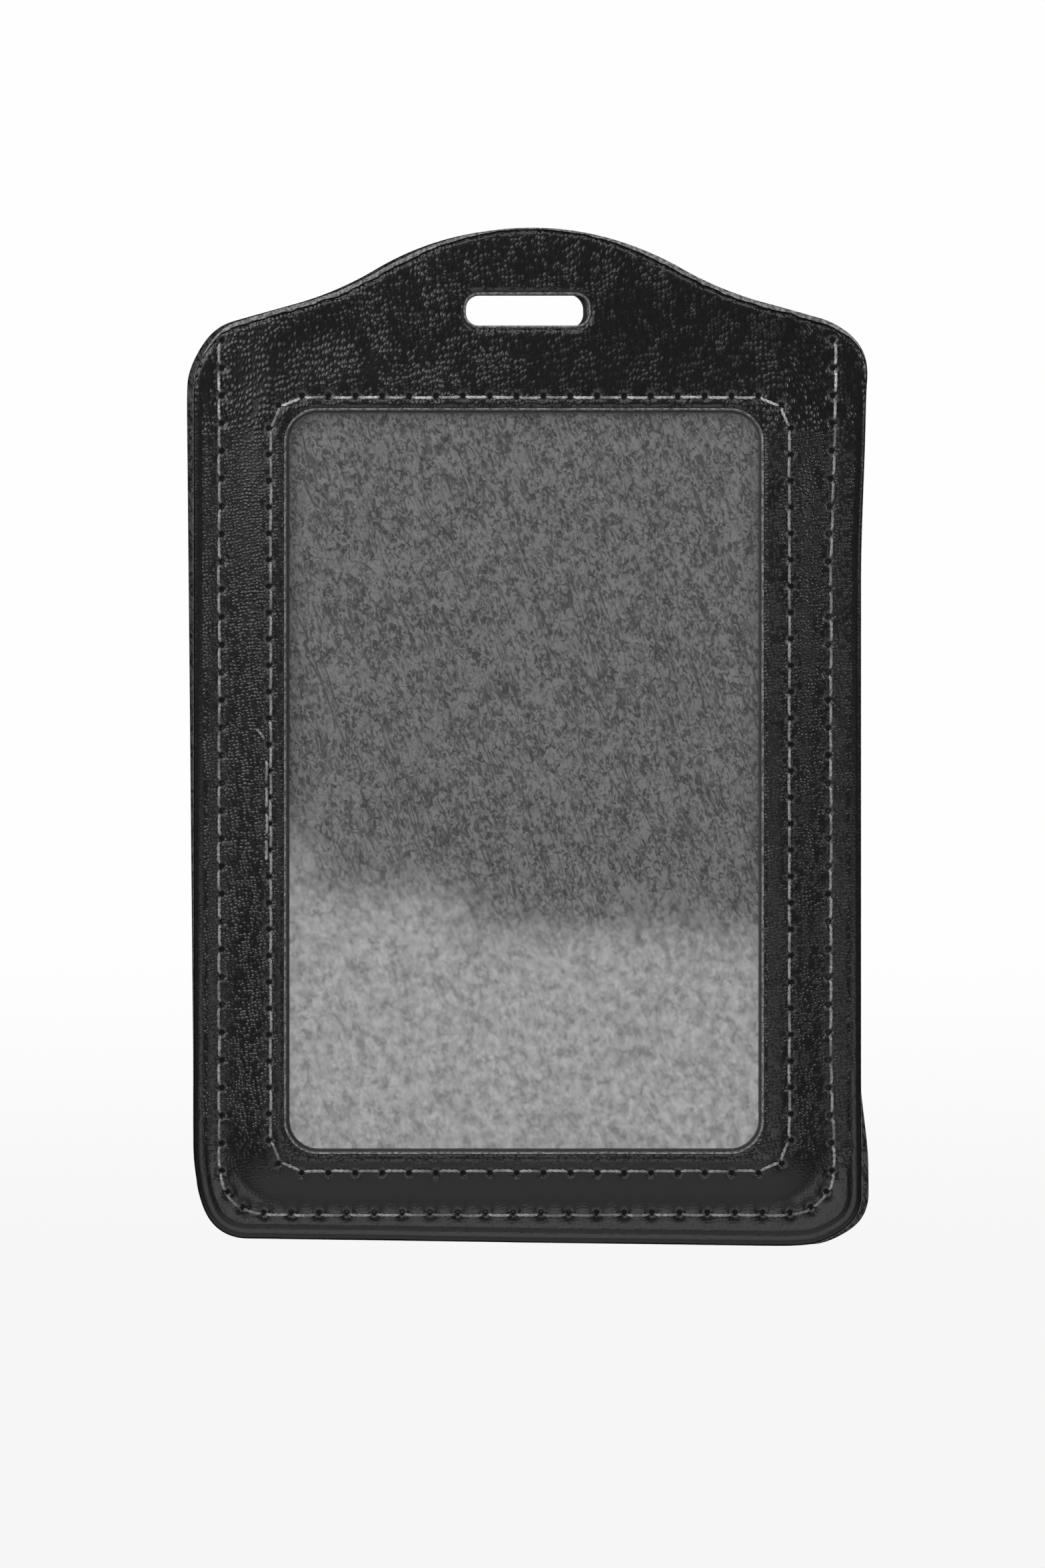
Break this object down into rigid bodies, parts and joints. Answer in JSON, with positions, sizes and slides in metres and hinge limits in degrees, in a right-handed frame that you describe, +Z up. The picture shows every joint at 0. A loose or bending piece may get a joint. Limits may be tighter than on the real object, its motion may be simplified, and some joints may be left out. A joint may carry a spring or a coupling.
{
  "type": "id badge wallet",
  "caption": "Upright black leatherette badge wallet with a humped top, a lanyard slot, a clear window and lockstitched seams round the edge and the window.",
  "frame": {"origin": "middle of the lanyard slot, on the plane where the front and back covers meet", "axes": "+Z up towards the hump, the front with the window faces -Y, +X to the right as seen from the front"},
  "size_m": [0.0755, 0.0037, 0.1123],
  "materials": {
    "black_leatherette": "satin",
    "grey_backing_cloth": "matte",
    "clear_film": "gloss",
    "black_thread": "satin"
  },
  "bodies": {
    "pocket": {"front_cover": "black_leatherette", "front_cover_backing": "grey_backing_cloth", "window_pane": "clear_film", "back_cover": "black_leatherette", "back_cover_backing": "grey_backing_cloth", "outer_seam_needle_thread": "black_thread", "outer_seam_bobbin_thread": "black_thread", "window_seam_needle_thread": "black_thread", "window_seam_bobbin_thread": "black_thread"},
    "lip": {"back_lip": "black_leatherette", "back_lip_backing": "grey_backing_cloth"}
  },
  "joints": [
    {"name": "mouth_fold", "type": "hinge", "parent": "pocket", "child": "lip", "pos_m": [0, 0.0011, -0.0025], "axis": [-1, 0, 0], "range_deg": [0, 40], "stiffness_Nm_per_rad": 0.006}
  ]
}
